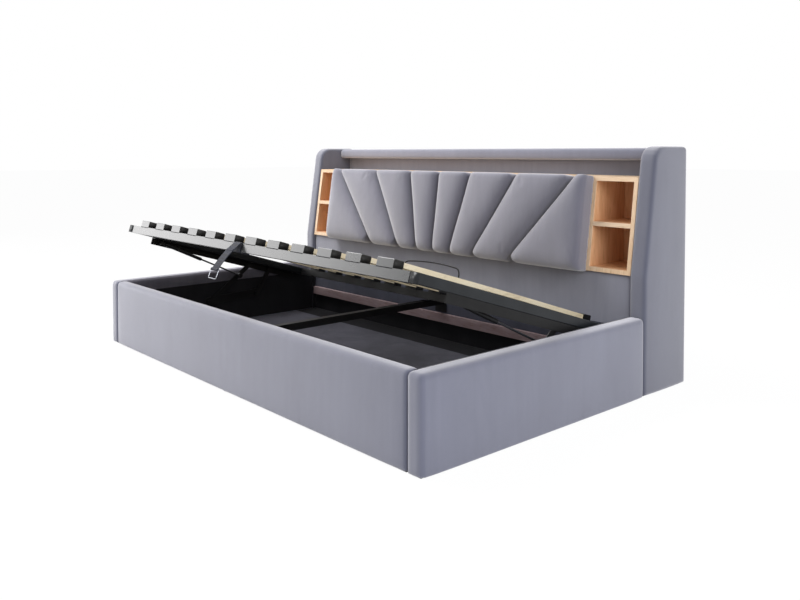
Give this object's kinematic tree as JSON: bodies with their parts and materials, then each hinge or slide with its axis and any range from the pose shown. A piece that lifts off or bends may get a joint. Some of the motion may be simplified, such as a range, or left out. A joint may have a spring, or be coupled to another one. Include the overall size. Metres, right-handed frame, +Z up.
{
  "type": "bed with storage headboard",
  "caption": "Upholstered storage bed with a shelf headboard along its long side, a fanned channelled pad between niches and a slatted lift-up platform.",
  "frame": {"origin": "centre of the outer box, on the floor", "axes": "+X along the headboard, +Y towards the headboard, +Z up"},
  "size_m": [2.13, 1.4462, 0.91],
  "materials": {
    "velvet": "matte short-pile velvet",
    "beech": "satin beech board",
    "slat_wood": "pale birch slat",
    "raw_wood": "raw timber",
    "lining": "board with dark grey lining",
    "grey_steel": "satin grey",
    "black_steel": "satin black",
    "bright_steel": "polished",
    "webbing": "woven webbing"
  },
  "bodies": {
    "base": {"front_panel": "velvet", "left_side_panel": "velvet", "right_side_panel": "velvet", "left_wing": "velvet", "right_wing": "velvet", "lower_panel": "velvet", "headboard_back_panel": "velvet", "top_rail": "velvet", "pad_board": "velvet", "left_inner_channel": "velvet", "left_second_channel": "velvet", "left_third_channel": "velvet", "left_outer_channel": "velvet", "right_inner_channel": "velvet", "right_second_channel": "velvet", "right_third_channel": "velvet", "right_outer_channel": "velvet", "ledge": "beech", "left_niche_frame": "beech", "left_niche_shelf": "beech", "left_niche_back": "beech", "right_niche_frame": "beech", "right_niche_shelf": "beech", "right_niche_back": "beech", "rear_ledger": "raw_wood", "storage_floor": "lining", "centre_beam": "black_steel", "left_base_plate": "black_steel", "right_base_plate": "black_steel"},
    "front_links": {"left_front_link": "black_steel", "right_front_link": "black_steel"},
    "platform": {"front_rail": "grey_steel", "rear_rail": "grey_steel", "right_rail": "grey_steel", "left_rail": "grey_steel", "retainer_arch": "black_steel", "pull_strap": "webbing", "left_lift_bar": "black_steel", "right_lift_bar": "black_steel", "slat_1": "slat_wood", "slat_2": "slat_wood", "slat_3": "slat_wood", "slat_4": "slat_wood", "slat_5": "slat_wood", "slat_6": "slat_wood", "slat_7": "slat_wood", "slat_8": "slat_wood", "slat_9": "slat_wood", "slat_10": "slat_wood", "slat_11": "slat_wood", "slat_12": "slat_wood"},
    "rear_links": {"left_rear_link": "black_steel", "right_rear_link": "black_steel"},
    "strut_cylinders": {"left_strut_cylinder": "black_steel", "right_strut_cylinder": "black_steel"},
    "strut_rods": {"left_strut_rod": "bright_steel", "right_strut_rod": "bright_steel"},
    "strap_tail": {"strap_tail": "webbing"},
    "pull_ring": {"pull_ring": "bright_steel"}
  },
  "joints": [
    {"name": "front_link_pivot", "type": "hinge", "parent": "base", "child": "front_links", "pos_m": [0, -0.20292, 0.137], "axis": [1, 0, 0], "range_deg": [-21.19, 0]},
    {"name": "platform_pivot", "type": "hinge", "parent": "front_links", "child": "platform", "pos_m": [0, 0.02283, 0.30469], "axis": [1, 0, 0], "range_deg": [-0.1, 38.4]},
    {"name": "rear_link_pivot", "type": "hinge", "parent": "base", "child": "rear_links", "pos_m": [0, 0.07108, 0.152], "axis": [1, 0, 0], "range_deg": [-33.2, 0.1]},
    {"name": "strut_pivot", "type": "hinge", "parent": "platform", "child": "strut_cylinders", "pos_m": [0, -0.46492, 0.45369], "axis": [1, 0, 0], "range_deg": [-0.1, 4.95]},
    {"name": "strut_slide", "type": "slide", "parent": "strut_cylinders", "child": "strut_rods", "axis": [0, 0.906, -0.4233], "range_m": [-0.037, 0.0002]},
    {"name": "strap_pivot", "type": "hinge", "parent": "platform", "child": "strap_tail", "pos_m": [0, -0.61203, 0.55126], "axis": [1, 0, 0], "range_deg": [-122, 0.1]},
    {"name": "ring_pivot", "type": "hinge", "parent": "strap_tail", "child": "pull_ring", "pos_m": [0, -0.70876, 0.45963], "axis": [1, 0, 0], "range_deg": [-60, 60]}
  ],
  "couplings": [
    {"joint": "platform_pivot", "follows": "front_link_pivot", "ratio": -1.8068},
    {"joint": "rear_link_pivot", "follows": "front_link_pivot", "ratio": 1.5607},
    {"joint": "strut_pivot", "follows": "front_link_pivot", "ratio": -0.22975},
    {"joint": "strut_slide", "follows": "front_link_pivot", "m_per_rad": 0.099422},
    {"joint": "strap_pivot", "follows": "front_link_pivot", "ratio": 5.748}
  ]
}
